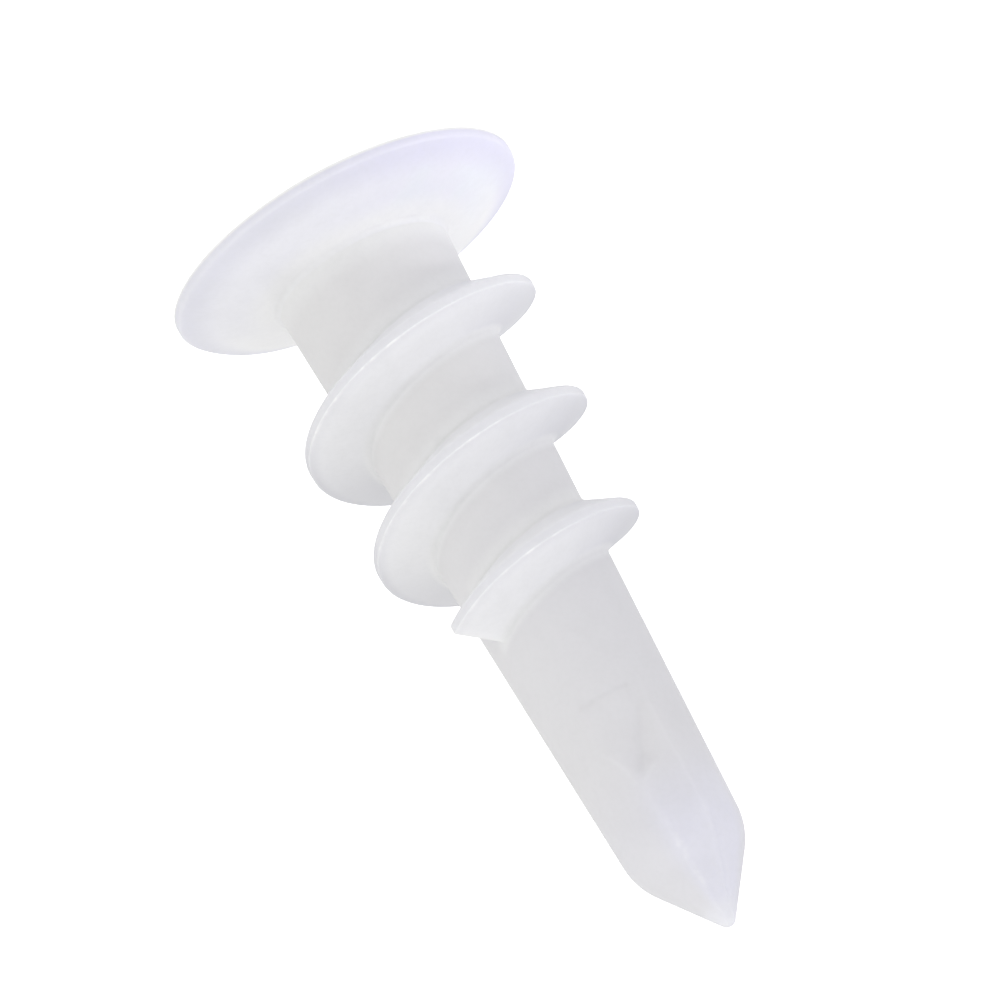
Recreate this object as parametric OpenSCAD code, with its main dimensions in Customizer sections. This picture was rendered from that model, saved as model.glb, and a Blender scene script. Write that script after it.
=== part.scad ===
// Self-drilling plasterboard anchor, moulded in one piece of nylon.
// It stands on its head: the outer face of the head is at z = 0 and the point is up.
// Lengths are in millimetres and angles in degrees.

/* [Overall] */
// Length from the outer face of the head to the point
total_length = 32; // [30:0.5:45]

/* [Head] */
// Diameter of the head
head_d = 14.4; // [13:0.1:18]
// Height of the rounded rim of the head
rim_height = 0.45; // [0.35:0.05:1]
// Rise of the domed underside, from the rim to the axis
underside_rise = 1.55; // [0.5:0.05:2]
// Radius of the fillet between the underside and the shank
neck_fillet = 0.3; // [0.2:0.05:1.2]

/* [Shank] */
// Diameter of the shank where it would meet the outer face
neck_d = 7.25; // [6.9:0.05:8.5]
// Diameter of the shank where the point begins
shoulder_d = 4.85; // [4.6:0.05:6]
// Radius that rounds the shoulder of the point
shoulder_radius = 3; // [1:0.1:4]
// Full angle of the point
point_angle = 68; // [56:1:90]
// Radius at the very tip
tip_radius = 0.35; // [0.15:0.05:0.6]

/* [Thread] */
// Distance between two turns
pitch = 4.97; // [4:0.01:6.5]
// Diameter over the crest where the thread starts, near the head
thread_start_d = 11.5; // [10:0.1:13]
// Diameter over the crest where the thread stops, near the point
thread_stop_d = 9.5; // [8.4:0.1:12]
// Height above the outer face at which the thread starts
thread_start = 3.4; // [3:0.1:5]
// Height above the outer face at which the thread stops
thread_stop = 17.25; // [12:0.05:19]
// Direction of the flat face in which the thread stops, from +X towards +Y
stop_direction = 320; // [0:5:355]
// Width of the thread where it leaves the shank
root_width = 2.2; // [1.6:0.1:3]
// How much nearer to the head the middle of that width lies than the crest
root_shift = 0.14; // [0:0.02:0.3]
// Width of the rounded crest
crest_width = 0.36; // [0.2:0.02:0.6]
// Width of the chamfer between a flank and the shank
root_chamfer = 0.2; // [0.1:0.05:0.4]
// Angle over which the thread grows out of the shank at its start
run_in = 60; // [30:5:120]

/* [Screw hole] */
// Diameter of the pilot hole for the screw
pilot_d = 3; // [2.2:0.1:3.4]
// Height above the outer face at which the straight wall of the pilot hole ends
pilot_end = 21.5; // [14:0.5:22]
// Depth of the tapered end of the pilot hole
pilot_taper = 0.8; // [0.3:0.1:1]

/* [Driver recess] */
// Width over two opposite wings at the outer face
recess_span = 6.8; // [6:0.1:7.4]
// Width over two opposite wings at the floor of the recess
recess_floor_span = 3.9; // [3.5:0.1:4.6]
// Thickness of a wing
wing_width = 1.5; // [1.1:0.05:1.8]
// Depth of the recess, where the straight wall of the pilot hole begins
recess_depth = 6; // [4:0.25:7.5]
// Diameter of the tapered hole between the wings at the outer face
mouth_d = 4.4; // [3.6:0.1:5.4]

/* [Point flutes] */
// Distance from the axis to the wall that stands behind each cutting edge
edge_offset = 1.55; // [1:0.05:2]
// Distance from the axis to the deepest line of a flute
flute_offset = 1.1; // [0.6:0.05:1.5]
// Height above the outer face at which the flutes start
flute_start = 22.4; // [22:0.1:25]
// Radius of the hollow floor of a flute
flute_radius = 1.5; // [1.1:0.1:2.4]
// Depth of a flute at the shoulder
flute_depth = 0.6; // [0.2:0.05:0.8]
// Direction of the groove that runs down the point, from +X towards +Y
groove_direction = 68; // [50:1:90]
// Full angle of that groove, which narrows to the tip
groove_angle = 24; // [12:1:36]
// Angle by which the groove goes below the surface of the point
groove_depth = 6; // [2:0.5:9]

/* [Hidden] */
// Steps of each rounded edge of the outline, of each side of the crest and of one turn
arc_steps = 6;
crest_steps = 2;
turn_steps = 48;
// How far cutting shapes pass the surfaces that they cut
over = 0.5;
// How far the thread reaches into the shank, so that the two join
thread_sink = 0.5;

head_r = head_d/2;
rim_r = rim_height/2;
neck_r = neck_d/2;
shoulder_r = shoulder_d/2;
pilot_r = pilot_d/2;
half_point = point_angle/2;

// Where the cone of the point would end sharp, and where it begins
sharp_tip = total_length + tip_radius*(1/sin(half_point) - 1);
shoulder_z = sharp_tip - shoulder_r/tan(half_point);
shank_slope = (neck_r - shoulder_r)/shoulder_z;
shank_taper = atan(shank_slope);

// The underside is an arc round a centre on the axis, through the top of the rim
dome_foot = head_r - rim_r;
dome_radius = (dome_foot^2 + underside_rise^2)/(2*underside_rise);
dome_z = rim_height + underside_rise - dome_radius;
dome_start = acos(dome_foot/dome_radius);

// The centre of the neck fillet lies one fillet radius off the underside and the shank
fillet_reach = neck_r + neck_fillet/cos(shank_taper);
fillet_a = 1 + shank_slope^2;
fillet_b = fillet_reach*shank_slope + dome_z;
fillet_c = fillet_reach^2 + dome_z^2 - (dome_radius + neck_fillet)^2;
fillet_z = (fillet_b + sqrt(fillet_b^2 - fillet_a*fillet_c))/fillet_a;
fillet_centre = [fillet_reach - shank_slope*fillet_z, fillet_z];
dome_stop = atan2(fillet_z - dome_z, fillet_centre.x);

// The centre of the rounded shoulder lies one shoulder radius inside shank and point
shoulder_facing = (half_point + shank_taper)/2;
shoulder_inset = shoulder_radius/cos((half_point - shank_taper)/2);
shoulder_centre = [shoulder_r, shoulder_z] - shoulder_inset*[cos(shoulder_facing), sin(shoulder_facing)];

function arc(centre, radius, from, to, first = 0) =
    [for (i = [first:arc_steps])
        let (angle = from + (to - from)*i/arc_steps)
        centre + radius*[cos(angle), sin(angle)]];

// Half outline of the anchor without its thread, as [distance from the axis, height]
outline = concat(
    [[0, 0]],
    arc([dome_foot, rim_r], rim_r, -90, 90),
    arc([0, dome_z], dome_radius, dome_start, dome_stop, 1),
    arc(fillet_centre, neck_fillet, 180 + dome_stop, 180 + shank_taper, 1),
    arc(shoulder_centre, shoulder_radius, shank_taper, half_point),
    arc([0, total_length - tip_radius], tip_radius, half_point, 90)
);

function shank_r(z) = neck_r - shank_slope*z;
function crest_radius(z) =
    (thread_start_d + (thread_stop_d - thread_start_d)*(z - thread_start)/(thread_stop - thread_start))/2;
function turned_to(z) = stop_direction - 360*(thread_stop - z)/pitch;

// One flank of the thread, as [distance from the crest, height above the shank].
// A narrow chamfer stands for the hollow between the flank and the shank.
function flank(foot, height) =
    let (round_r = crest_width/2)
    let (lean = atan2(foot - root_chamfer - round_r, height - root_chamfer))
    concat(
        [[foot + thread_sink, -thread_sink], [foot - root_chamfer, root_chamfer]],
        [for (i = [0:crest_steps - 1])
            let (angle = lean + (90 - lean)*i/crest_steps)
            [round_r*cos(angle), height - round_r + round_r*sin(angle)]]
    );

// The whole section, up the side near the head and down the side near the point
function section(height) =
    let (head_side = flank(root_width/2 + root_shift, height))
    let (point_side = flank(root_width/2 - root_shift, height))
    concat(
        [for (p = head_side) [-p.x, p.y]],
        [[0, height]],
        [for (i = [len(point_side) - 1:-1:0]) point_side[i]]
    );

// The section where the helix has reached height z, grown to the share grown of its height
function section_at(z, grown) =
    let (angle = turned_to(z))
    [for (p = section(crest_radius(z) - shank_r(z)))
        let (r = shank_r(z + p.x) - thread_sink + grown*(p.y + thread_sink))
        [r*cos(angle), r*sin(angle), z + p.x]];

module thread() {
    step = pitch/turn_steps;
    steps = floor((thread_stop - thread_start)/step);
    bottom = thread_stop - steps*step;
    least = 0.1;
    rings = [for (i = [0:steps])
        let (turned = 360*i/turn_steps)
        section_at(bottom + i*step, min(1, least + (1 - least)*turned/run_in))];
    width = len(rings[0]);
    polyhedron(
        points = [for (ring = rings) each ring],
        faces = concat(
            [[for (j = [width - 1:-1:0]) j]],
            [for (i = [0:steps - 1]) for (j = [0:width - 1]) for (half = [0:1])
                let (a = i*width + j)
                let (b = i*width + (j + 1)%width)
                half == 0 ? [a, b, a + width] : [b, b + width, a + width]],
            [[for (j = [0:width - 1]) steps*width + j]]
        )
    );
}

// Pilot hole with its tapered mouth and end, as one turned shape
module screw_hole() {
    mouth_slope = (mouth_d/2 - pilot_r)/recess_depth;
    rotate_extrude($fn = 48) polygon([
        [0, -over],
        [mouth_d/2 + over*mouth_slope, -over],
        [pilot_r, recess_depth],
        [pilot_r, pilot_end],
        [pilot_r/3, pilot_end + pilot_taper],
        [0, pilot_end + pilot_taper]
    ]);
}

// One pair of opposite wings of the cross recess
module wing_pair() {
    wing_slope = (recess_span - recess_floor_span)/2/recess_depth;
    top = recess_span/2 + over*wing_slope;
    floor_half = recess_floor_span/2;
    rotate([90, 0, 0])
        linear_extrude(wing_width, center = true)
            polygon([[-top, -over], [top, -over], [floor_half, recess_depth], [-floor_half, recess_depth]]);
}

module driver_recess() {
    for (turn = [0, 90]) rotate([0, 0, turn]) wing_pair();
}

// Surface of the shank above the deepest line of a flute
function over_flute(z) = sqrt(shank_r(z)^2 - flute_offset^2);

// Hollow along the shank: it runs out at flute_start and has a straight wall behind the edge
module flute() {
    rise = over_flute(flute_start) + flute_radius;
    set_in = over_flute(shoulder_z) + flute_radius - flute_depth;
    lean = atan2(rise - set_in, shoulder_z - flute_start);
    intersection() {
        translate([flute_offset, rise, flute_start])
            rotate([lean, 0, 0])
                translate([0, 0, -flute_radius])
                    cylinder(h = total_length - flute_start + flute_radius, r = flute_radius, $fn = 48);
        translate([edge_offset - head_d, -head_d/2, flute_start - head_d])
            cube([head_d, head_d, total_length]);
    }
}

// Groove down the point: a cone that narrows to the sharp tip, cut off above the rounded tip
module point_groove() {
    first = (sharp_tip - total_length)/2;
    last = shoulder_r/sin(half_point)*1.5;
    tilt = half_point + groove_angle/2 - groove_depth;
    widening = tan(groove_angle/2);
    translate([0, 0, sharp_tip])
        rotate([0, 0, groove_direction])
            rotate([0, 180 - tilt, 0])
                translate([0, 0, first])
                    cylinder(h = last - first, r1 = first*widening, r2 = last*widening, $fn = 48);
}

module anchor() {
    color("ghostwhite")
        difference() {
            union() {
                rotate_extrude($fn = 96) polygon(outline);
                thread();
            }
            screw_hole();
            driver_recess();
            for (turn = [0, 180]) rotate([0, 0, turn]) {
                flute();
                point_groove();
            }
        }
}

anchor();
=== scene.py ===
# %% [markdown]
# # A self-drilling plasterboard anchor
# The real anchor is one small moulding of milky nylon: a thin domed head, a tapering shank with a
# coarse thread, and a point with two flutes that drills its own hole. This lesson builds it as one
# closed mesh, gives it a nylon that lets some light through, and sets it on a plain white stage.
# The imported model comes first. It is the frame that everything here is measured from.

# %% Load the frame
import math
import bpy
import numpy as np
from mathutils import Matrix, Vector


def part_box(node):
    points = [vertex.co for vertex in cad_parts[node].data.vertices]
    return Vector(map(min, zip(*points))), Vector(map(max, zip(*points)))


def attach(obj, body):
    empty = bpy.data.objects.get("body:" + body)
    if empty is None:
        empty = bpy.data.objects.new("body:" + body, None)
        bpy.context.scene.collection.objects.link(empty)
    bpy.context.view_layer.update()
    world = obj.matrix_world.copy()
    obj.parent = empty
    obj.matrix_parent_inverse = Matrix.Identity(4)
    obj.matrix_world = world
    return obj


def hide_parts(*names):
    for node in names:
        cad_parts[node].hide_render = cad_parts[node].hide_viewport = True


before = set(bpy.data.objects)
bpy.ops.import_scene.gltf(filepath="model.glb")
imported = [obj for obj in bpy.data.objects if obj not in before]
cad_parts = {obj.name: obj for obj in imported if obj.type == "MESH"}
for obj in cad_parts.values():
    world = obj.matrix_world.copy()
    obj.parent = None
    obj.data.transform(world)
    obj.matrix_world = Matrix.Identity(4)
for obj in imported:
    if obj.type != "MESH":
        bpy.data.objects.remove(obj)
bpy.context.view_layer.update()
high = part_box("anchor")[1]
head_radius = high.x
tip_height = high.z
MM = 0.001
print(f"the anchor is {tip_height/MM:.1f} mm long and {2*head_radius/MM:.1f} mm across")

# %% [markdown]
# Every operator acts on what is selected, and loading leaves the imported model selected. So a few
# small helpers come before any modelling. They select one piece, open it in edit mode with all or
# some of its points selected, and extrude what is selected. Others read the places of all its points
# as an array, and write them back, which is how a whole surface is given its shape at once.

# %% Helpers for selecting and editing
def select_only(piece=None):
    if bpy.context.object and bpy.context.object.mode != "OBJECT":
        bpy.ops.object.mode_set(mode="OBJECT")
    bpy.ops.object.select_all(action="DESELECT")
    if piece:
        piece.select_set(True)
        bpy.context.view_layer.objects.active = piece


def edit(piece):
    select_only(piece)
    bpy.ops.object.mode_set(mode="EDIT")
    bpy.ops.mesh.select_mode(type="VERT")
    bpy.ops.mesh.select_all(action="SELECT")


def extrude_up(distance):
    bpy.ops.mesh.extrude_region_move(TRANSFORM_OT_translate={"value": (0, 0, distance)})


# %% Helpers for reading and moving the points of a piece
def points_of(piece):
    co = np.zeros(len(piece.data.vertices)*3)
    piece.data.vertices.foreach_get("co", co)
    return co.reshape(-1, 3)


def move_points(piece, co):
    piece.data.vertices.foreach_set("co", co.ravel())
    piece.data.update()


def polar(co):
    return np.hypot(co[:, 0], co[:, 1]), np.arctan2(co[:, 1], co[:, 0])


def set_polar(co, chosen, radius, angle):
    co[chosen, 0] = radius*np.cos(angle)
    co[chosen, 1] = radius*np.sin(angle)


def select_points(piece, chosen):
    select_only(piece)
    piece.data.vertices.foreach_set("select", chosen)
    edges = np.zeros(len(piece.data.edges)*2, dtype=int)
    piece.data.edges.foreach_get("vertices", edges)
    edges = edges.reshape(-1, 2)
    piece.data.edges.foreach_set("select", chosen[edges[:, 0]] & chosen[edges[:, 1]])
    piece.data.polygons.foreach_set("select", np.zeros(len(piece.data.polygons), dtype=bool))
    bpy.ops.object.mode_set(mode="EDIT")
    bpy.ops.mesh.select_mode(type="VERT")


# %% [markdown]
# ## The threaded part of the shank
# On the real anchor the thread and the shank are one surface, with a small hollow where they meet.
# A thread that is pushed into a separate shank would show a hard line there. So the surface is made
# in one go: a short upright line, one pitch high, is wound round the axis by the Screw modifier.
# Each turn ends where the next one begins, so the turns close up into a tube whose rows of faces
# follow the thread. The line has many points near the crest, where the thread bends sharply.

# %% Sizes of the shank and the thread
NECK_RADIUS = 3.625*MM
SHOULDER_RADIUS = 2.425*MM
PITCH = 4.97*MM
THREAD_START = 3.4*MM
THREAD_STOP = 17.25*MM
CREST_RADIUS_START = 5.78*MM
CREST_RADIUS_STOP = 4.78*MM
STOP_DIRECTION = math.radians(320)
COLUMNS = 180
BAND_LOW = 2.1*MM
BAND_HIGH = 18.9*MM
POINT_ANGLE = math.radians(68)
TIP_ROUNDING = 0.35*MM

half_point = POINT_ANGLE/2
sharp_tip = tip_height + TIP_ROUNDING*(1/math.sin(half_point) - 1)
shoulder_height = sharp_tip - SHOULDER_RADIUS/math.tan(half_point)
shank_slope = (NECK_RADIUS - SHOULDER_RADIUS)/shoulder_height


def shank_radius(z):
    return NECK_RADIUS - shank_slope*z


# %% Wind the line into a tube
TURNS = 5
MERGE_DISTANCE = 0.001*MM

half_rows = [
    0.06, 0.11, 0.145, 0.165, 0.18, 0.195, 0.21, 0.225, 0.245, 0.28, 0.34, 0.44, 0.56, 0.68, 0.79, 0.88,
    0.96, 1.04, 1.12, 1.2, 1.28, 1.37, 1.5, 1.7, 1.95, 2.2, 2.485]
rows = [-h*MM for h in reversed(half_rows)] + [0] + [h*MM for h in half_rows]
first_row = THREAD_STOP - PITCH*(TURNS - 1) + rows[0]

select_only()
bpy.ops.mesh.primitive_plane_add(size=MM)
anchor = bpy.context.object
anchor.name = "nylon_anchor"
edit(anchor)
bpy.ops.mesh.merge(type="CENTER")
bpy.ops.transform.translate(value=(
    NECK_RADIUS*math.cos(STOP_DIRECTION), NECK_RADIUS*math.sin(STOP_DIRECTION), first_row))
for start, stop in zip(rows, rows[1:]):
    extrude_up(stop - start)
select_only(anchor)
screw = anchor.modifiers.new("turns", "SCREW")
screw.angle = 2*math.pi
screw.screw_offset = PITCH
screw.iterations = TURNS
screw.steps = COLUMNS
screw.render_steps = COLUMNS
bpy.ops.object.modifier_apply(modifier="turns")
edit(anchor)
bpy.ops.mesh.remove_doubles(threshold=MERGE_DISTANCE)
print("the wound tube has", len(points_of(anchor)), "points")

# %% [markdown]
# The tube starts and ends in a slanted edge, because it was wound. Two flat cuts give it level ends,
# so that the head and the point can be drawn on from there.

# %% Cut the tube level at both ends
TINY = 0.005*MM

edit(anchor)
bpy.ops.mesh.bisect(plane_co=(0, 0, BAND_LOW), plane_no=(0, 0, 1), clear_inner=True, threshold=TINY)
bpy.ops.mesh.select_all(action="SELECT")
bpy.ops.mesh.bisect(plane_co=(0, 0, BAND_HIGH), plane_no=(0, 0, 1), clear_outer=True, threshold=TINY)
select_only(anchor)
print("between the level cuts, the tube has", len(points_of(anchor)), "points")

# %% [markdown]
# Each cut also leaves points between the columns, where it crosses the slanting rows. They would give
# slivers further on, so each of them is moved to its nearest column and merged with the point there.

# %% Keep one point for each column on both edges
column_step = 2*math.pi/COLUMNS


def edge_at(height):
    return np.abs(points_of(anchor)[:, 2] - height) < 2*TINY


co = points_of(anchor)
radius, angle = polar(co)
column = np.round((angle - STOP_DIRECTION)/column_step)*column_step + STOP_DIRECTION
for height in (BAND_LOW, BAND_HIGH):
    on_edge = edge_at(height)
    set_polar(co, on_edge, NECK_RADIUS, column[on_edge])
    co[on_edge, 2] = height
move_points(anchor, co)
select_points(anchor, edge_at(BAND_LOW) | edge_at(BAND_HIGH))
bpy.ops.mesh.remove_doubles(threshold=TINY)
select_only(anchor)
print("the edges have", edge_at(BAND_LOW).sum(), "and", edge_at(BAND_HIGH).sum(), "points")

# %% [markdown]
# Now the thread itself. The points keep their height and their direction and only move in or out:
# out by the height of the thread's section at that place. The section has two straight flanks, of
# which the one towards the point is the steeper. Between them lies a narrow flat land whose edge
# towards the point is crisp. The thread is highest near the head, lower towards the point, and it
# grows out of the shank over the first part of a turn. It stops dead in a flat face, as on the real
# anchor. Where the two halves of the mould meet on one side, the land is a little lower.

# %% Sizes of the thread's section, and helpers that blend
LAND_HALF_WIDTH = 0.2*MM
HEAD_FOOT = 1.23*MM
POINT_FOOT = 0.97*MM
HEAD_EDGE_ROUNDING = 0.22*MM
POINT_EDGE_ROUNDING = 0.07*MM
FOOT_HOLLOW = 0.22*MM
RUN_IN = math.radians(60)
MOULD_FLAT = 0.2*MM
ANGLE_NUDGE = 1e-6


def smooth_step(value, start, stop):
    share = np.clip((value - start)/(stop - start), 0, 1)
    return share*share*(3 - 2*share)


def soft_max(a, b, reach):
    near = np.maximum(reach - np.abs(a - b), 0)/reach
    return np.maximum(a, b) + near**2*reach/4


# %% Raise the thread out of the tube
def crest_radius(z):
    share = (z - THREAD_START)/(THREAD_STOP - THREAD_START)
    return CREST_RADIUS_START + (CREST_RADIUS_STOP - CREST_RADIUS_START)*share


def flank(away, full, foot, rounding):
    slope = full*(foot - away)/(foot - LAND_HALF_WIDTH)
    cut_off = -soft_max(-slope, -full, rounding)
    return soft_max(cut_off, np.zeros_like(away), FOOT_HOLLOW)


def thread_height(angle, z):
    height = np.zeros_like(z)
    turn_share = np.mod(STOP_DIRECTION - angle + ANGLE_NUDGE, 2*math.pi)/(2*math.pi)
    lowered = MOULD_FLAT*np.maximum(-np.cos(angle), 0)**2
    for turn in range(TURNS):
        crest_z = THREAD_STOP - PITCH*(turn + turn_share)
        grown = smooth_step((crest_z - THREAD_START)/PITCH*2*math.pi, 0, RUN_IN)
        full = crest_radius(crest_z) - shank_radius(crest_z) - lowered
        towards_head = flank(crest_z - z, full, HEAD_FOOT, HEAD_EDGE_ROUNDING)
        towards_point = flank(z - crest_z, full, POINT_FOOT, POINT_EDGE_ROUNDING)
        height = np.maximum(height, grown*np.where(z < crest_z, towards_head, towards_point))
    return height


co = points_of(anchor)
angle = polar(co)[1]
raised_radius = shank_radius(co[:, 2]) + thread_height(angle, co[:, 2])
set_polar(co, slice(None), raised_radius, angle)
move_points(anchor, co)
print(f"the crest is {raised_radius.max()/MM:.2f} mm from the axis at its highest")

# %% [markdown]
# The face in which the thread stops lies between two columns of points, 2 degrees apart, so it leans
# a little. The second column is slid nearly all the way back to the first one, to stand it up.

# %% Stand the end face of the thread up
SLIDE_SHARE = 0.93

co = points_of(anchor)
radius, angle = polar(co)
past_end = np.mod(angle - STOP_DIRECTION + math.pi, 2*math.pi) - math.pi
beside = np.abs(co[:, 2] - THREAD_STOP) < HEAD_FOOT + FOOT_HOLLOW
slid = (np.abs(past_end - column_step) < column_step/4) & beside
set_polar(co, slid, radius[slid], angle[slid] - SLIDE_SHARE*column_step)
move_points(anchor, co)
print(slid.sum(), "points slid back")

# %% [markdown]
# ## The head
# The lower edge of the tube is a level ring. It is extruded ring by ring along the outline of the
# head, as on a lathe: through the hollow at the neck, over the domed underside, round the rim, and
# in across the flat outer face. Each stretch of the outline is an arc that runs into the next one.
# The centre of the hollow lies one hollow radius off both the shank and the dome. That makes its
# height the answer of a quadratic equation.

# %% Helper that extrudes the open edge along an outline
def arc(centre, radius, start, stop, count):
    steps = [start + (stop - start)*i/count for i in range(1, count + 1)]
    return [(centre[0] + radius*math.cos(a), centre[1] + radius*math.sin(a)) for a in steps]


def turn_outline(from_radius, from_height, outline):
    r, z = from_radius, from_height
    for next_r, next_z in outline:
        extrude_up(next_z - z)
        share = next_r/r
        bpy.ops.transform.resize(value=(share, share, 1), center_override=(0, 0, next_z))
        r, z = next_r, next_z


# %% Outline of the head, worked out so that its arcs meet smoothly
RIM_HEIGHT = 0.45*MM
RIM_FOOT_ROUNDING = 0.04*MM
UNDERSIDE_RISE = 1.55*MM
NECK_HOLLOW = 0.3*MM

rim_radius = RIM_HEIGHT/2
rim_centre = (head_radius - rim_radius, rim_radius)
dome_top = RIM_HEIGHT + UNDERSIDE_RISE
rim_share = rim_centre[0]**2 + (dome_top - rim_radius)**2 - rim_radius**2
dome_radius = rim_share/(2*(dome_top - RIM_HEIGHT))
dome_z = dome_top - dome_radius
dome_start = math.atan2(rim_radius - dome_z, rim_centre[0])
taper = math.atan(shank_slope)
reach = NECK_RADIUS + NECK_HOLLOW/math.cos(taper)
square_term = 1 + shank_slope**2
middle_term = reach*shank_slope + dome_z
last_term = reach**2 + dome_z**2 - (dome_radius + NECK_HOLLOW)**2
hollow_z = (middle_term + math.sqrt(middle_term**2 - square_term*last_term))/square_term
hollow_centre = (reach - shank_slope*hollow_z, hollow_z)
dome_stop = math.atan2(hollow_z - dome_z, hollow_centre[0])
head_outline = (
    arc(hollow_centre, NECK_HOLLOW, math.pi + taper, math.pi + dome_stop, 12)
    + arc((0, dome_z), dome_radius, dome_stop, dome_start, 10)
    + arc(rim_centre, rim_radius, dome_start, 0, 8)
    + arc((head_radius - RIM_FOOT_ROUNDING, RIM_FOOT_ROUNDING), RIM_FOOT_ROUNDING, 0, -math.pi/2, 6)
)

# %% Turn the head
select_points(anchor, edge_at(BAND_LOW))
turn_outline(shank_radius(BAND_LOW), BAND_LOW, head_outline)
bpy.ops.mesh.edge_face_add()
select_only(anchor)
print(f"the hollow at the neck ends {hollow_z/MM:.2f} mm above the outer face")

# %% [markdown]
# A thin moulded disc is never quite round. So the rim is pushed in by a hair on one side, most at
# its edge and less and less towards the axis.

# %% Push the rim in on one side
RIM_DENT = 0.2*MM
DENT_DIRECTION = math.radians(26)
DENT_WIDTH = math.radians(22)

co = points_of(anchor)
radius, angle = polar(co)
dent = RIM_DENT*np.exp(-((angle - DENT_DIRECTION)/DENT_WIDTH)**2)*(radius/head_radius)**3
co[:, :2] *= np.where(co[:, 2] < BAND_LOW, 1 - dent/radius, 1)[:, None]
move_points(anchor, co)
print(f"the rim is pushed in by up to {dent.max()/MM:.2f} mm")

# %% [markdown]
# ## The point
# The upper edge is drawn on in the same way, along the shank, round the shoulder and up the cone to
# the small rounded tip. The rings lie close together, because the flutes are pressed into them later.

# %% Turn the lower shank and the point
SHOULDER_ROUNDING = 3*MM
ROW = 0.15*MM
LAST_RING = math.radians(84)

shoulder_facing = (half_point + taper)/2
inset = SHOULDER_ROUNDING/math.cos((half_point - taper)/2)
shoulder_centre = (
    SHOULDER_RADIUS - inset*math.cos(shoulder_facing),
    shoulder_height - inset*math.sin(shoulder_facing))
shank_end = shoulder_centre[1] + SHOULDER_ROUNDING*math.sin(taper)
shoulder_end = shoulder_centre[1] + SHOULDER_ROUNDING*math.sin(half_point)
tip_centre = (0, tip_height - TIP_ROUNDING)
cone_end = tip_centre[1] + TIP_ROUNDING*math.sin(half_point)


def straight(start, stop, profile):
    count = math.ceil((stop - start)/ROW)
    heights = [start + (stop - start)*i/count for i in range(1, count + 1)]
    return [(profile(z), z) for z in heights]


def cone_radius(z):
    return (sharp_tip - z)*math.tan(half_point)


point_outline = (
    straight(BAND_HIGH, shank_end, shank_radius)
    + arc(shoulder_centre, SHOULDER_ROUNDING, taper, half_point, 12)
    + straight(shoulder_end, cone_end, cone_radius)
    + arc(tip_centre, TIP_ROUNDING, half_point, LAST_RING, 7)
)
select_points(anchor, edge_at(BAND_HIGH))
turn_outline(shank_radius(BAND_HIGH), BAND_HIGH, point_outline)
extrude_up(tip_height - point_outline[-1][1])
bpy.ops.mesh.merge(type="CENTER")
select_only(anchor)
print("with head and point, the piece has", len(anchor.data.vertices), "points")

# %% [markdown]
# ## The flutes of the point
# Two flutes, half a turn apart, make the point cut. Each has a straight ridge, which is the cutting
# edge, a flat beside it that runs to the tip, and a shallow scoop where it starts on the shank. They
# are only a few tenths of a millimetre deep and soft all over, so they are pressed into the turned
# surface by moving its points inwards. Cutters and booleans would leave edges that are too hard.

# %% Sizes of the flutes
NOT_ZERO = 1e-9
RIDGE_DIRECTION = math.radians(236)
FLAT_WIDTH = math.radians(38)
FLAT_ROUNDING = 0.006*MM
FLAT_EDGE_ROUNDING = 0.05*MM
FLUTE_START = 22.38*MM
VALLEY_START_WIDTH = math.radians(3)
VALLEY_STOP_WIDTH = math.radians(33)
VALLEY_END = 25.7*MM
SCOOP_END = 26.3*MM
SCOOP_START_WIDTH = math.radians(64)
SCOOP_STOP_WIDTH = FLAT_WIDTH + math.radians(8)
SCOOP_DEPTH = 0.34*MM
SCOOP_DEEPENS = (FLUTE_START - 0.1*MM, FLUTE_START + 2.2*MM)
SCOOP_RUNS_OUT = (SCOOP_END, VALLEY_END - 0.6*MM)

# %% [markdown]
# Two faint marks go with them: a low ledge where the scoop starts, and a scored line beside the
# ridge that runs down the cone. Sizes in pairs say where a form begins to show and where it is full.

# %% Sizes of the ledge and the scored line
LEDGE_DEPTH = 0.05*MM
LEDGE_NEAR_SIDE = (math.radians(6), math.radians(14))
LEDGE_FAR_SIDE = (math.radians(60), math.radians(40))
LEDGE_TOP = (FLUTE_START - 0.08*MM, FLUTE_START + 0.16*MM)
LEDGE_FADES = (FLUTE_START + 2*MM, FLUTE_START)
SCORE_OFFSET = math.radians(-3)
SCORE_WIDTH = math.radians(2.6)
SCORE_DEPTH = 0.03*MM
SCORE_STARTS = (shoulder_height - MM, shoulder_height)


# %% Shape the flutes
def flat_radius(past_ridge, r, z):
    started = smooth_step(z, FLUTE_START, SCOOP_END)
    across = np.sin(past_ridge) + np.sin(FLAT_WIDTH - past_ridge)
    chord = r*math.sin(FLAT_WIDTH)/np.maximum(across, NOT_ZERO)
    reach = FLAT_EDGE_ROUNDING*np.clip(past_ridge/FLAT_WIDTH, 0, 1)**2*np.clip(r/MM, 0, 1)
    pressed = -soft_max(-chord, -r, FLAT_ROUNDING + reach)
    return np.where((past_ridge < FLAT_WIDTH) & (across > 0), r + (pressed - r)*started, r)


def scoop_depth(past_ridge, z):
    along = np.clip((z - FLUTE_START)/(VALLEY_END - FLUTE_START), 0, 1)
    valley = VALLEY_START_WIDTH + (VALLEY_STOP_WIDTH - VALLEY_START_WIDTH)*along
    narrowed = smooth_step(z, FLUTE_START + MM, VALLEY_END)
    far_side = SCOOP_START_WIDTH + (SCOOP_STOP_WIDTH - SCOOP_START_WIDTH)*narrowed
    left = np.clip((far_side - past_ridge)/(far_side - valley), 0, 1)
    right = np.clip(past_ridge/valley, 0, 1)
    side = np.where(past_ridge > valley, left, right)
    across = side**1.25*(1.5 - 0.5*side**2)
    return SCOOP_DEPTH*across*(smooth_step(z, *SCOOP_DEEPENS)*smooth_step(z, *SCOOP_RUNS_OUT))


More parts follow.
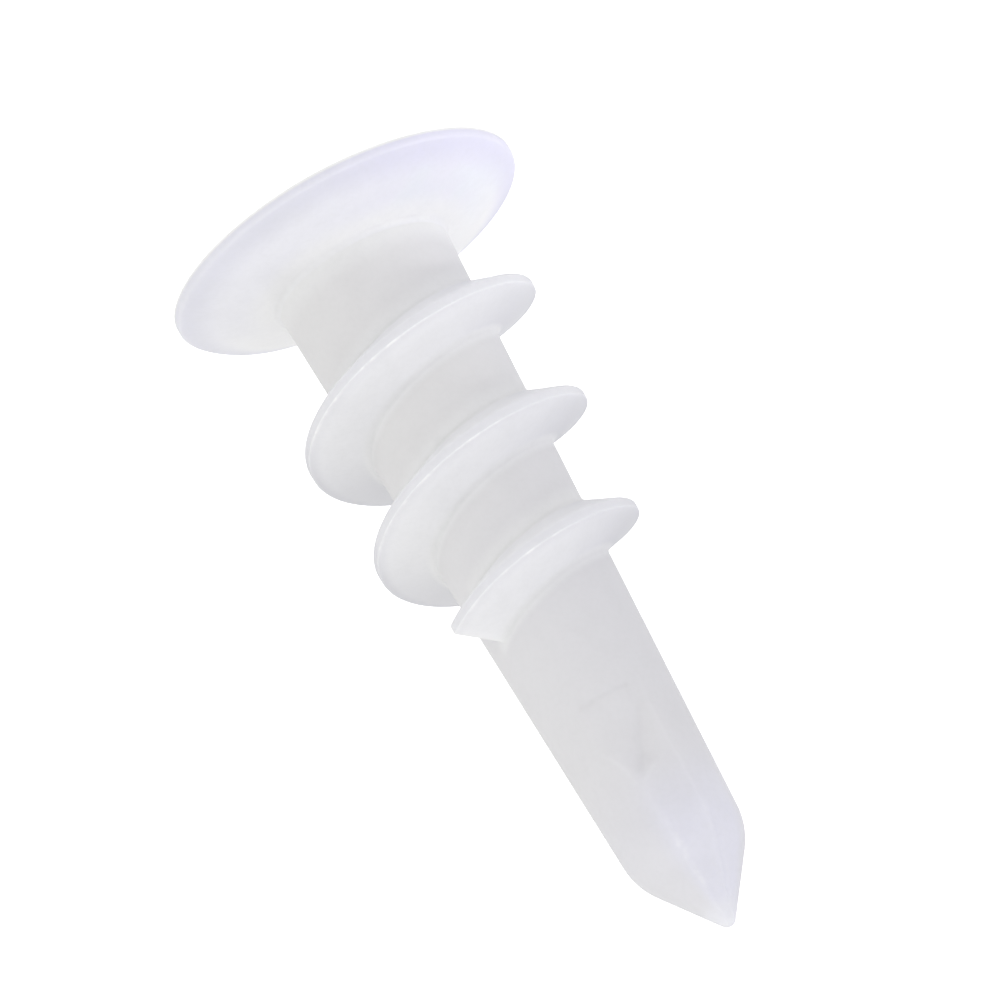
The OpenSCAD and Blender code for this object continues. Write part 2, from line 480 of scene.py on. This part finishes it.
def ledge_depth(past_ridge, z):
    sides = smooth_step(past_ridge, *LEDGE_NEAR_SIDE)*smooth_step(past_ridge, *LEDGE_FAR_SIDE)
    return LEDGE_DEPTH*sides*(smooth_step(z, *LEDGE_TOP)*smooth_step(z, *LEDGE_FADES))


def score_depth(past_ridge, r, z):
    past_score = np.mod(past_ridge - SCORE_OFFSET + math.pi/2, math.pi) - math.pi/2
    line = np.exp(-(past_score/SCORE_WIDTH)**2)
    return SCORE_DEPTH*line*smooth_step(z, *SCORE_STARTS)*np.clip(r/MM, 0, 1)


# %% Press the flutes in
co = points_of(anchor)
radius, angle = polar(co)
z = co[:, 2]
fluted = (z > FLUTE_START - 0.01*MM) & (radius > 0.02*MM)
past_ridge = np.mod(angle - RIDGE_DIRECTION, math.pi)
round_ridge = np.where(past_ridge > math.radians(150), past_ridge - math.pi, past_ridge)
scooped = radius - (scoop_depth(round_ridge, z) + ledge_depth(round_ridge, z))
pressed = np.minimum(flat_radius(past_ridge, radius, z), scooped)
new_radius = np.where(fluted, pressed - score_depth(past_ridge, radius, z), radius)
co[:, :2] *= np.where(fluted, new_radius/np.maximum(radius, NOT_ZERO), 1)[:, None]
move_points(anchor, co)
print(f"the flutes are up to {(radius - new_radius).max()/MM:.2f} mm deep")

# %% [markdown]
# ## The recess and the screw hole
# The outer face takes a cross bit. Four tapering wings surround a round mouth that narrows into the
# pilot hole for the screw. The hole is blind, because the point in front of it has to stay solid.
# The cutter is turned from a ring of points and the wings are two tapering bars. A boolean takes all
# of it out of the anchor.

# %% Sizes of the recess and the hole
PILOT_RADIUS = 1.5*MM
PILOT_END = 21.5*MM
PILOT_TAPER = 0.8*MM
RECESS_SPAN = 6.8*MM
RECESS_FLOOR_SPAN = 3.9*MM
WING_WIDTH = 1.5*MM
RECESS_DEPTH = 6*MM
MOUTH_RADIUS = 2.2*MM
OVER = 0.5*MM


# %% Turn the cutter for the hole
select_only()
mouth_slope = (MOUTH_RADIUS - PILOT_RADIUS)/RECESS_DEPTH
mouth_start = MOUTH_RADIUS + OVER*mouth_slope
bpy.ops.mesh.primitive_circle_add(
    vertices=72, radius=mouth_start, location=(0, 0, -OVER), fill_type="NGON")
hole = bpy.context.object
hole.name = "hole_cutter"
bpy.ops.object.transform_apply(location=True)
edit(hole)
turn_outline(mouth_start, -OVER, [
    (PILOT_RADIUS, RECESS_DEPTH), (PILOT_RADIUS, PILOT_END), (PILOT_RADIUS/3, PILOT_END + PILOT_TAPER)])
bpy.ops.mesh.select_all(action="SELECT")
bpy.ops.mesh.normals_make_consistent(inside=False)


# %% Shape the wings of the recess
wing_slope = (RECESS_SPAN - RECESS_FLOOR_SPAN)/RECESS_DEPTH
span = RECESS_SPAN + OVER*wing_slope


def wing(turned):
    select_only()
    bpy.ops.mesh.primitive_plane_add(size=1, location=(0, 0, -OVER))
    bar = bpy.context.object
    bar.scale = (span, WING_WIDTH, 1)
    bpy.ops.object.transform_apply(location=True, scale=True)
    edit(bar)
    extrude_up(RECESS_DEPTH + OVER)
    bpy.ops.transform.resize(value=(RECESS_FLOOR_SPAN/span, 1, 1), center_override=(0, 0, RECESS_DEPTH))
    bpy.ops.mesh.select_all(action="SELECT")
    bpy.ops.mesh.normals_make_consistent(inside=False)
    select_only(bar)
    bar.rotation_euler.z = turned
    bpy.ops.object.transform_apply(rotation=True)
    return bar


cutters = [hole, wing(0), wing(math.pi/2)]

# %% Take the recess and the hole out of the anchor
SMOOTH_UP_TO = math.radians(42)


def cut(piece, cutter):
    select_only(piece)
    boolean = piece.modifiers.new("cut", "BOOLEAN")
    boolean.operation = "DIFFERENCE"
    boolean.solver = "EXACT"
    boolean.object = cutter
    bpy.ops.object.modifier_apply(modifier="cut")
    bpy.data.objects.remove(cutter)


for cutter in cutters:
    cut(anchor, cutter)
select_only(anchor)
bpy.ops.object.shade_smooth_by_angle(angle=SMOOTH_UP_TO)
print("after the cuts, the piece has", len(anchor.data.polygons), "faces")

# %% [markdown]
# ## Milky nylon
# Nylon of this kind isn't quite opaque. Light goes a millimetre or two into it and comes out again,
# so thin parts such as the thread and the head look lighter and a touch cooler than the thick shank.
# The shader scatters light below the surface. On top of that, painted light makes the colour itself
# cooler and lighter where the part is thin, so that it keeps this look where such scattering isn't
# drawn. More painted light and shade follow in the cells below.

# %% A small class for shader maths
class Socket:
    def __init__(self, tree, link=None):
        self.tree = tree
        self.link = link

    def node(self, kind, settings=None, inputs=None, output=0):
        made = self.tree.nodes.new(kind)
        for name, setting in (settings or {}).items():
            setattr(made, name, setting)
        for name, value in (inputs or {}).items():
            if isinstance(value, Socket):
                self.tree.links.new(value.link, made.inputs[name])
            else:
                made.inputs[name].default_value = value
        return Socket(self.tree, made.outputs[output] if made.outputs else None)

    def maths(self, operation, first, second=0.0):
        return self.node("ShaderNodeMath", {"operation": operation}, {0: first, 1: second})

    def step(self, start, stop):
        return self.node("ShaderNodeMapRange", {"interpolation_type": "SMOOTHSTEP"}, {
            "Value": self, "From Min": start, "From Max": stop})

    def mix(self, first, second):
        return self.node("ShaderNodeMix", {"data_type": "RGBA"}, {0: self, 6: first, 7: second}, 2)

    def parts(self):
        return [self.node("ShaderNodeSeparateXYZ", {}, {"Vector": self}, i) for i in range(3)]

    def __add__(self, other):
        return self.maths("ADD", self, other)

    def __sub__(self, other):
        return self.maths("SUBTRACT", self, other)

    def __mul__(self, other):
        return self.maths("MULTIPLY", self, other)

    def __truediv__(self, other):
        return self.maths("DIVIDE", self, other)

    def __radd__(self, other):
        return self.maths("ADD", other, self)

    def __rsub__(self, other):
        return self.maths("SUBTRACT", other, self)

    def __rmul__(self, other):
        return self.maths("MULTIPLY", other, self)

    def __rtruediv__(self, other):
        return self.maths("DIVIDE", other, self)

    def __abs__(self):
        return self.maths("ABSOLUTE", self)


def fresh_tree(owner):
    owner.use_nodes = True
    owner.node_tree.nodes.clear()
    return Socket(owner.node_tree)


# %% [markdown]
# The shader finds out where on the anchor it is from the object coordinates alone. The distance from
# the axis tells how far out on a thread or on the head a place is. The height and the direction
# together tell how far it lies from the crest of the thread, measured along the axis.

# %% Where a place is on the anchor
nylon = bpy.data.materials.new("milky_nylon")
tree = fresh_tree(nylon)
place = tree.node("ShaderNodeTexCoord", output="Object")
x, y, z = place.parts()
from_axis = tree.maths("POWER", x*x + y*y, 0.5)
proud = from_axis - (NECK_RADIUS - z*shank_slope)
direction = tree.maths("ARCTAN2", y, x)
turns_up = (z - THREAD_STOP)/PITCH + (STOP_DIRECTION - direction)/(2*math.pi)
from_crest = (tree.maths("FRACT", turns_up + 0.5) - 0.5)*PITCH
crest_height = z - from_crest


def facing(towards):
    return place.maths("COSINE", direction - towards)


def noise(scale, detail, roughness=0.5):
    return place.node("ShaderNodeTexNoise", {}, {
        "Vector": place, "Scale": scale, "Detail": detail, "Roughness": roughness})


# %% [markdown]
# The colour is built up from the axis outwards, and each mask fades from 0 to 1 over a pair of
# values. On the shank the colour is greyest, with painted shade that darkens it towards its sides.
# Towards the point, where the moulding gets thinner, painted light makes it lighter and cooler, most
# of all on the flats. The very tip carries a painted highlight.

# %% Colour of the shank and the point
SHANK_COLOUR = (0.8, 0.795, 0.795, 1)
SHANK_SHADED_SIDE_COLOUR = (0.735, 0.73, 0.742, 1)
LOWER_COLOUR = (0.784, 0.779, 0.794, 1)
POINT_COLOUR = (0.785, 0.78, 0.81, 1)
FLAT_PAINTED_LIGHT_COLOUR = (0.806, 0.804, 0.866, 1)
APEX_HIGHLIGHT_COLOUR = (0.83, 0.83, 0.87, 1)
SHANK_FRONT = math.radians(287)
FLAT_FRONT = math.radians(240)
LOWER_HEIGHTS = (8*MM, 19*MM)
POINT_HEIGHTS = (24*MM, 28*MM)
FLAT_HEIGHTS = (25.3*MM, 28.6*MM)
APEX_HIGHLIGHT_HEIGHTS = (30.9*MM, 31.5*MM)

# Painted shade: darker towards the sides of the shank and of the thread, lighter at the front.
unshaded_front = facing(SHANK_FRONT).step(-0.5, 1)
on_flat = facing(FLAT_FRONT)
on_flat = (on_flat*on_flat).step(0.25, 0.75)*z.step(*FLAT_HEIGHTS)
body_colour = z.step(*LOWER_HEIGHTS).mix(SHANK_COLOUR, LOWER_COLOUR)
body_colour = unshaded_front.mix(SHANK_SHADED_SIDE_COLOUR, body_colour)
body_colour = z.step(*POINT_HEIGHTS).mix(body_colour, POINT_COLOUR)
# Painted light on the flats.
body_colour = on_flat.mix(body_colour, FLAT_PAINTED_LIGHT_COLOUR)
# Painted highlight at the very tip.
body_colour = z.step(*APEX_HIGHLIGHT_HEIGHTS).mix(body_colour, APEX_HIGHLIGHT_COLOUR)
print("with the shank and the point, the nylon has", len(nylon.node_tree.nodes), "nodes")

# %% [markdown]
# Where a flute starts, a faint dotted arc of painted shade lies along the low ledge. The same dots
# break up the painted highlight on the crest of the thread, in a later cell.

# %% Dotted arc of painted shade at the start of a flute
ARC_SHADE_COLOUR = (0.73, 0.725, 0.74, 1)
ARC_MIDDLE = RIDGE_DIRECTION - 2*math.pi + math.radians(33)
ARC_SIDES = (math.radians(26), math.radians(20))
ARC_HALF_WIDTH = 0.2*MM

dots = noise(1500.0, 3.0).step(0.45, 0.7)
# Painted shade in a dotted arc along the ledge where the scoop starts.
shaded_arc = abs(direction - ARC_MIDDLE).step(*ARC_SIDES)*abs(z - FLUTE_START).step(ARC_HALF_WIDTH, 0)
body_colour = (shaded_arc*(dots*0.6 + 0.4)).mix(body_colour, ARC_SHADE_COLOUR)
print("with the arc, the nylon has", len(nylon.node_tree.nodes), "nodes")

# %% [markdown]
# The thread is thin, and painted light makes it lighter than the shank, with painted shade towards
# its sides. Painted light also reaches a little way into the shank at both of its feet, where it
# lifts the shade in the corners. Its narrow land carries painted shade, most of all towards the sides.

# %% Colour of the thread and of its feet
THREAD_COLOUR = (0.883, 0.883, 0.9, 1)
THREAD_SHADED_SIDE_COLOUR = (0.715, 0.715, 0.747, 1)
LAND_SHADE_COLOUR = (0.795, 0.795, 0.82, 1)
LAND_SIDE_SHADE_COLOUR = (0.63, 0.63, 0.67, 1)
HEAD_FOOT_PAINTED_LIGHT = (0.866, 0.866, 0.866, 1)
POINT_FOOT_PAINTED_LIGHT = (0.86, 0.86, 0.868, 1)
HEAD_FOOT_LIGHT_SPAN = (-HEAD_FOOT - 0.9*MM, -HEAD_FOOT)
POINT_FOOT_LIGHT_SPAN = (0.5*MM, 0.05*MM)
RAISED = (0.05*MM, 0.35*MM)
LAND_MIDDLE = 0.03*MM
LAND_REACH = (0.36*MM, 0.12*MM)
LAND_PROUD = (0.7*MM, 1.2*MM)
LAND_FRONT = math.radians(265)

threaded = crest_height.step(THREAD_START, THREAD_START + MM)
threaded = threaded*crest_height.step(THREAD_STOP + 0.2*MM, THREAD_STOP)
# Painted light at both feet of the thread, which lifts the shade in the corners.
point_foot_light = abs(from_crest - POINT_FOOT + 0.02*MM).step(*POINT_FOOT_LIGHT_SPAN)
head_foot_light = from_crest.step(*HEAD_FOOT_LIGHT_SPAN)*from_crest.step(0, -0.1*MM)
body_colour = (point_foot_light*threaded).mix(body_colour, POINT_FOOT_PAINTED_LIGHT)
body_colour = (head_foot_light*threaded).mix(body_colour, HEAD_FOOT_PAINTED_LIGHT)
thread_colour = unshaded_front.mix(THREAD_SHADED_SIDE_COLOUR, THREAD_COLOUR)
# Painted shade on the land, darker still towards the sides.
on_land = abs(from_crest - LAND_MIDDLE).step(*LAND_REACH)*proud.step(*LAND_PROUD)
land_shade = facing(LAND_FRONT).step(0.6, -0.25).mix(LAND_SHADE_COLOUR, LAND_SIDE_SHADE_COLOUR)
thread_colour = on_land.mix(thread_colour, land_shade)
# Painted light: the raised thread takes its lighter colour.
colour = proud.step(*RAISED).mix(body_colour, thread_colour)
print("with the thread, the nylon has", len(nylon.node_tree.nodes), "nodes")

# %% [markdown]
# The head is the thinnest and largest face, so its colour carries the most painted light. Painted
# light makes it whitest near the neck, cooler further out with a few blue patches, cooler still on
# one side and lighter towards the back. Painted shade makes it greyer again at the rim, and a thin
# band of painted light lies along the foot of the rim. The neck just above the head carries painted
# light too.

# %% Colour of the neck and the head
NECK_PAINTED_LIGHT_COLOUR = (0.86, 0.86, 0.86, 1)
INNER_COLOUR = (0.9, 0.9, 0.912, 1)
INNER_COOL_COLOUR = (0.915, 0.915, 0.945, 1)
HEAD_COLOUR = (0.874, 0.874, 0.924, 1)
HEAD_COOL_COLOUR = (0.848, 0.843, 0.94, 1)
HEAD_BLUE_COLOUR = (0.85, 0.864, 0.94, 1)
HEAD_LIT_FROM_BEHIND_COLOUR = (0.94, 0.938, 0.97, 1)
RIM_SHADE_COLOUR = (0.775, 0.775, 0.835, 1)
RIM_COOL_SHADE_COLOUR = (0.775, 0.767, 0.885, 1)
LINE_COLOUR = (0.97, 0.97, 0.97, 1)
OUTER_RADII = (3.9*MM, 5.1*MM)
RIM_RADII = (5.6*MM, 7*MM)
RIM_FOOT_LIGHT_HEIGHTS = (0.16*MM, 0.03*MM)

neck_end = hollow_z - 0.02*MM
# Painted light on the neck just above the head.
colour = z.step(neck_end + 1.1*MM, neck_end).mix(colour, NECK_PAINTED_LIGHT_COLOUR)
# Painted light: a cool tint on one side of the head, and a lighter back.
cool_light_side = (x/from_axis).step(0.2, -0.8)
lit_from_behind = (y/from_axis).step(-0.3, 0.8)
patches = noise(420.0, 1.5).step(0.42, 0.6)
cool_colour = patches.mix(HEAD_COOL_COLOUR, HEAD_BLUE_COLOUR)
inner_colour = cool_light_side.mix(INNER_COLOUR, INNER_COOL_COLOUR)
outer_colour = cool_light_side.mix(HEAD_COLOUR, cool_colour)
# Painted light: whitest near the neck.
head_colour = from_axis.step(*OUTER_RADII).mix(inner_colour, outer_colour)
head_colour = lit_from_behind.mix(head_colour, HEAD_LIT_FROM_BEHIND_COLOUR)
# Painted shade at the rim.
rim_shade = cool_light_side.mix(RIM_SHADE_COLOUR, RIM_COOL_SHADE_COLOUR)
head_colour = from_axis.step(*RIM_RADII).mix(head_colour, rim_shade)
# Painted light along the foot of the rim.
head_colour = z.step(*RIM_FOOT_LIGHT_HEIGHTS).mix(head_colour, LINE_COLOUR)
colour = z.step(neck_end + 0.01*MM, neck_end - 0.09*MM).mix(colour, head_colour)
print("with the neck and the head, the nylon has", len(nylon.node_tree.nodes), "nodes")

# %% [markdown]
# Last come the smallest marks: a dotted painted highlight along the crisp edge of the thread, on the
# side towards the camera, a few light specks where the flat meets the cone, and a very fine mottling
# over all of it, as nylon has it.

# %% Painted highlight, light specks and mottling
CREST_HIGHLIGHT_WIDTH = (0.05*MM, 0.01*MM)
CREST_HIGHLIGHT_PROUD = (1*MM, 1.4*MM)
CREST_HIGHLIGHT_FRONT = math.radians(290)
FLAT_EDGE = RIDGE_DIRECTION + FLAT_WIDTH - 2*math.pi
FLAT_EDGE_SIDES = (math.radians(7), math.radians(1))
FLAT_EDGE_FADES_IN = (27*MM, 29*MM)
FLAT_EDGE_FADES_OUT = (31*MM, 30.2*MM)
SPOT_COLOUR = (0.6, 0.6, 0.6, 1)

# Painted highlight along the crisp edge of the thread, on the side towards the camera.
at_edge = abs(from_crest - LAND_HALF_WIDTH).step(*CREST_HIGHLIGHT_WIDTH)*proud.step(*CREST_HIGHLIGHT_PROUD)
highlight_side = facing(CREST_HIGHLIGHT_FRONT).step(0.6, 1)
crest_highlight = at_edge*threaded*highlight_side*(dots*0.85 + 0.1)
colour = crest_highlight.mix(colour, LINE_COLOUR)
flat_edge = abs(direction - FLAT_EDGE).step(*FLAT_EDGE_SIDES)
flat_edge = flat_edge*z.step(*FLAT_EDGE_FADES_IN)*z.step(*FLAT_EDGE_FADES_OUT)
colour = (flat_edge*dots*0.3).mix(colour, LINE_COLOUR)
fine_spots = noise(5200.0, 2.0).step(0.35, 0.75)
wide_spots = noise(900.0, 2.0).step(0.4, 0.7)
colour = (fine_spots*0.06 + wide_spots*0.05).mix(colour, SPOT_COLOUR)

# %% [markdown]
# Moulded nylon has a soft shine, a little uneven from place to place, and a surface that ripples by
# less than can be felt. The scattering is short, 0.4 mm, so that edges stay clear.

# %% Shine, scattering and relief of the nylon
SCATTERING = 0.4*MM
RIPPLE_HEIGHT = 0.02*MM

grain = noise(2500.0, 3.0, 0.6)
ripple = noise(420.0, 4.0, 0.55)
relief = tree.node("ShaderNodeBump", {}, {
    "Height": ripple, "Strength": 0.15, "Distance": RIPPLE_HEIGHT})
surface = tree.node("ShaderNodeBsdfPrincipled", {}, {
    "Base Color": colour,
    "Roughness": grain*0.1 + 0.33,
    "IOR": 1.53,
    "Subsurface Weight": 1.0,
    "Subsurface Radius": (1, 1, 1),
    "Subsurface Scale": SCATTERING,
    "Normal": relief,
})
tree.node("ShaderNodeOutputMaterial", {}, {"Surface": surface})
print("in all, the nylon has", len(nylon.node_tree.nodes), "nodes")

# %% [markdown]
# The finished piece takes the nylon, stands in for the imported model, and rides on its only body.

# %% Put the nylon on the anchor
anchor.data.materials.clear()
anchor.data.materials.append(nylon)
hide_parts("anchor")
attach(anchor, "root")
print(anchor.name, "is made of", anchor.active_material.name)

# %% [markdown]
# ## The stage
# The anchor stands head down over a plain white floor. The floor lies 3 mm below the head, because
# in the reference no shadow touches the rim. To the camera it is a little brighter than the light
# makes it, so that it reads as white paper. From below it is clear, so that the recess can be seen.

# %% Lay the floor
FLOOR_HEIGHT = -3*MM

select_only()
bpy.ops.mesh.primitive_plane_add(size=4, location=(0, 0, FLOOR_HEIGHT))
floor = bpy.context.object
floor.name = "white_floor"
paper = bpy.data.materials.new("white_paper")
tree = fresh_tree(paper)
seen_by_camera = tree.node("ShaderNodeLightPath", output="Is Camera Ray")
diffuse = tree.node("ShaderNodeBsdfDiffuse", {}, {"Color": (0.9, 0.9, 0.9, 1)})
glow = tree.node("ShaderNodeEmission", {}, {"Color": (1, 1, 1, 1), "Strength": seen_by_camera*0.8})
both = tree.node("ShaderNodeAddShader", {}, {0: diffuse, 1: glow})
from_below = tree.node("ShaderNodeNewGeometry", output="Backfacing")
clear = tree.node("ShaderNodeBsdfTransparent")
one_sided = tree.node("ShaderNodeMixShader", {}, {0: from_below, 1: both, 2: clear})
tree.node("ShaderNodeOutputMaterial", {}, {"Surface": one_sided})
floor.data.materials.append(paper)

# %% [markdown]
# ## Light
# The light is that of a small photo tent: nearly even from all round, a little weaker from behind,
# and a little cooler from the right of the picture. The world does that, and to the camera it is one
# even near-white.

# %% Set the world
BACK_STRENGTH = 0.805
WARM_LIGHT = (1, 1, 0.98, 1)
COOL_LIGHT = (1, 1, 1.06, 1)

world = bpy.data.worlds.new("tent")
bpy.context.scene.world = world
tree = fresh_tree(world)
sideways, towards_back = tree.node("ShaderNodeTexCoord", output="Generated").parts()[:2]
falloff = (towards_back*0.5 + 0.5).step(0, 1)
tent_light = tree.node("ShaderNodeMix", {}, {0: falloff, 2: 1.0, 3: BACK_STRENGTH})
seen_by_camera = tree.node("ShaderNodeLightPath", output="Is Camera Ray")
strength = tree.node("ShaderNodeMix", {}, {0: seen_by_camera, 2: tent_light, 3: 1.0})
cool_part = sideways.step(0.5, -1)*(1 - seen_by_camera)
tent_colour = cool_part.mix(WARM_LIGHT, COOL_LIGHT)
sky = tree.node("ShaderNodeBackground", {}, {"Color": tent_colour, "Strength": strength})
tree.node("ShaderNodeOutputWorld", {}, {"Surface": sky})

# %% [markdown]
# A wide lamp fills in from the left of the picture. Two narrow spots stand for white cards that send
# some light onto the underside of the head, one from the right of the picture and one from behind.

# %% Hang the lamps
CARD_RADIUS = 8*MM


def hang(lamp, where, aim):
    holder = bpy.data.objects.new(lamp.name, lamp)
    bpy.context.scene.collection.objects.link(holder)
    holder.location = where
    holder.rotation_euler = (Vector(aim) - Vector(where)).to_track_quat("-Z", "Y").to_euler()


def hang_card(name, where, aim, power, width, colour):
    lamp = bpy.data.lights.new(name, "SPOT")
    lamp.energy = power
    lamp.color = colour
    lamp.spot_size = width
    lamp.spot_blend = 1
    lamp.shadow_soft_size = CARD_RADIUS
    hang(lamp, where, aim)


fill = bpy.data.lights.new("left_fill", "AREA")
fill.shape = "DISK"
fill.size = 0.3
fill.energy = 0.115
hang(fill, (0.4, -0.2, 0.2), (0, 0, tip_height/2))
hang_card("card", (-55*MM, -10*MM, 48*MM), (-5*MM, 0, 1*MM), 0.068, math.radians(14), (1, 1, 0.97))
hang_card("card_behind", (0, 60*MM, 50*MM), (0, 5*MM, 1*MM), 0.05, math.radians(11), (1, 1, 1))
print(len(bpy.data.lights), "lamps are hung")

# %% [markdown]
# ## Camera
# The reference looks down on the anchor by 22 degrees, and the picture is rolled, so that the point
# is at the lower right. The camera is far away with a long lens, because the reference shows almost
# no perspective.

# %% Place the camera
CAMERA_ELEVATION = math.radians(21.57)
CAMERA_ROLL = math.radians(60.55)
CAMERA_DISTANCE = 1.65
PIXELS_PER_MM = 26.5
CENTRE_PIXEL = (538.6, 585.6)
CENTRE_HEIGHT = 16.2*MM
PICTURE_PIXELS = 1000
SENSOR_WIDTH = 36

back = Vector((0, -math.cos(CAMERA_ELEVATION), math.sin(CAMERA_ELEVATION)))
level_right = Vector((1, 0, 0))
level_up = back.cross(level_right)
right = -math.sin(CAMERA_ROLL)*level_right + math.cos(CAMERA_ROLL)*level_up
up = back.cross(right)
across, down = [PICTURE_PIXELS/2 - pixel for pixel in CENTRE_PIXEL]
aim = Vector((0, 0, CENTRE_HEIGHT))
aim += right*across/PIXELS_PER_MM*MM - up*down/PIXELS_PER_MM*MM
camera_data = bpy.data.cameras.new("camera")
camera = bpy.data.objects.new("camera", camera_data)
bpy.context.scene.collection.objects.link(camera)
turn = Matrix((right, up, back)).transposed()
camera.matrix_world = Matrix.Translation(aim + back*CAMERA_DISTANCE) @ turn.to_4x4()
view_width = PICTURE_PIXELS/PIXELS_PER_MM*MM
camera_data.sensor_fit = "HORIZONTAL"
camera_data.sensor_width = SENSOR_WIDTH
camera_data.lens = SENSOR_WIDTH*CAMERA_DISTANCE/view_width
camera_data.clip_start = 0.1
camera_data.clip_end = 10
bpy.context.scene.camera = camera
bpy.context.scene.view_settings.view_transform = "Standard"
print(f"the picture is {view_width/MM:.1f} mm wide at the anchor")
